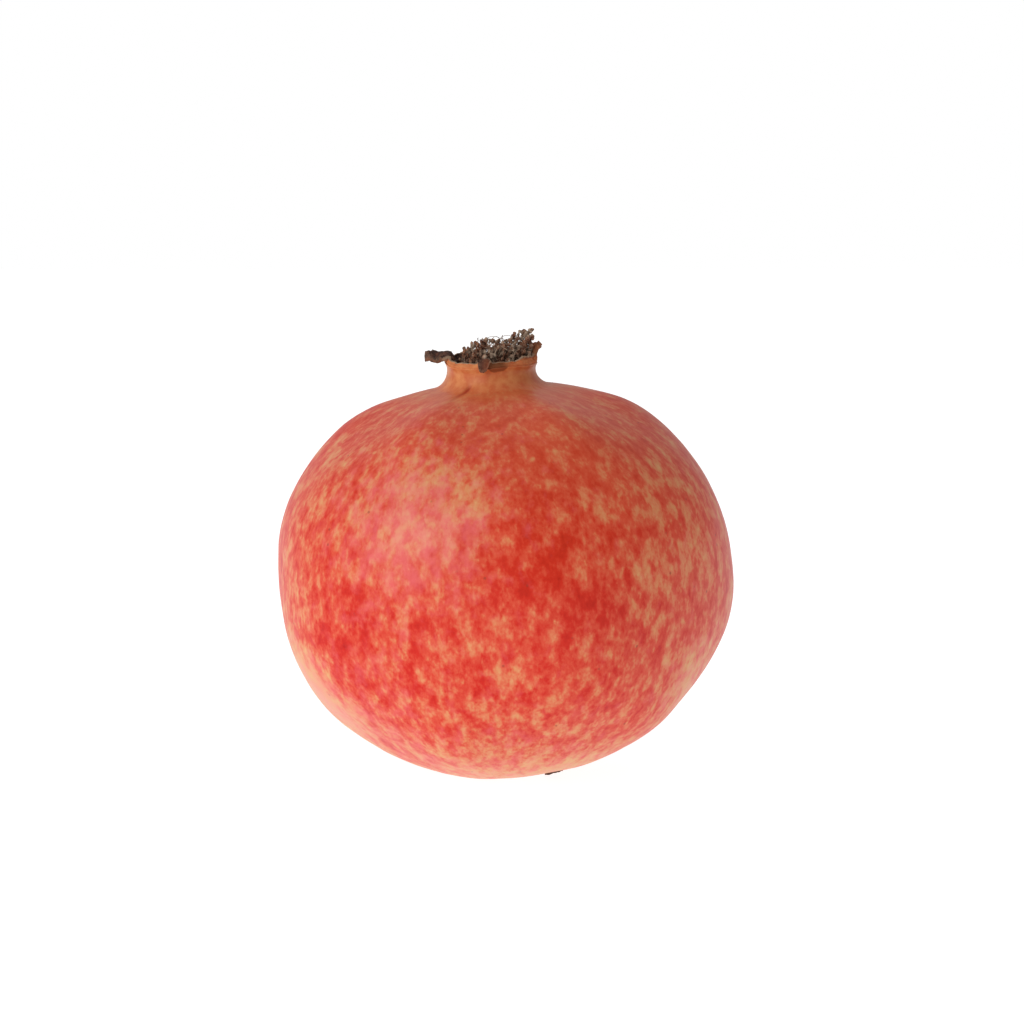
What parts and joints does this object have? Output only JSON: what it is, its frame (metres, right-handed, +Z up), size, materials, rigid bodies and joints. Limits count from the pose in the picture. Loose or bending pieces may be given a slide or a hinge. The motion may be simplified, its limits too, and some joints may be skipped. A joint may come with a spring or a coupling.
{
  "type": "pomegranate",
  "caption": "Whole ripe pomegranate as picked, red and yellow mottled rind, short neck with a worn dried crown and a tuft of dry stamens",
  "frame": {"origin": "in the middle of the fruit's box in plan, on the flat spot that it rests on", "axes": "+Z up; +Y away from the side that the picture shows, +X to the right in the picture. The crown leans 3 degrees to -X and 2 degrees to -Y"},
  "size_m": [0.0946, 0.0944, 0.0914],
  "materials": {
    "rind": "leathery fruit skin, semi-gloss, red mottled over yellow",
    "dried_calyx": "dry, crinkled, matt brown",
    "dried_stamens": "dry threads, matt grey-brown",
    "stalk_wood": "broken twig wood, dark, matt"
  },
  "bodies": {
    "root": {"rind": "rind", "calyx_crown": "dried_calyx", "stamens": "dried_stamens", "stalk_stub": "stalk_wood"}
  },
  "joints": []
}
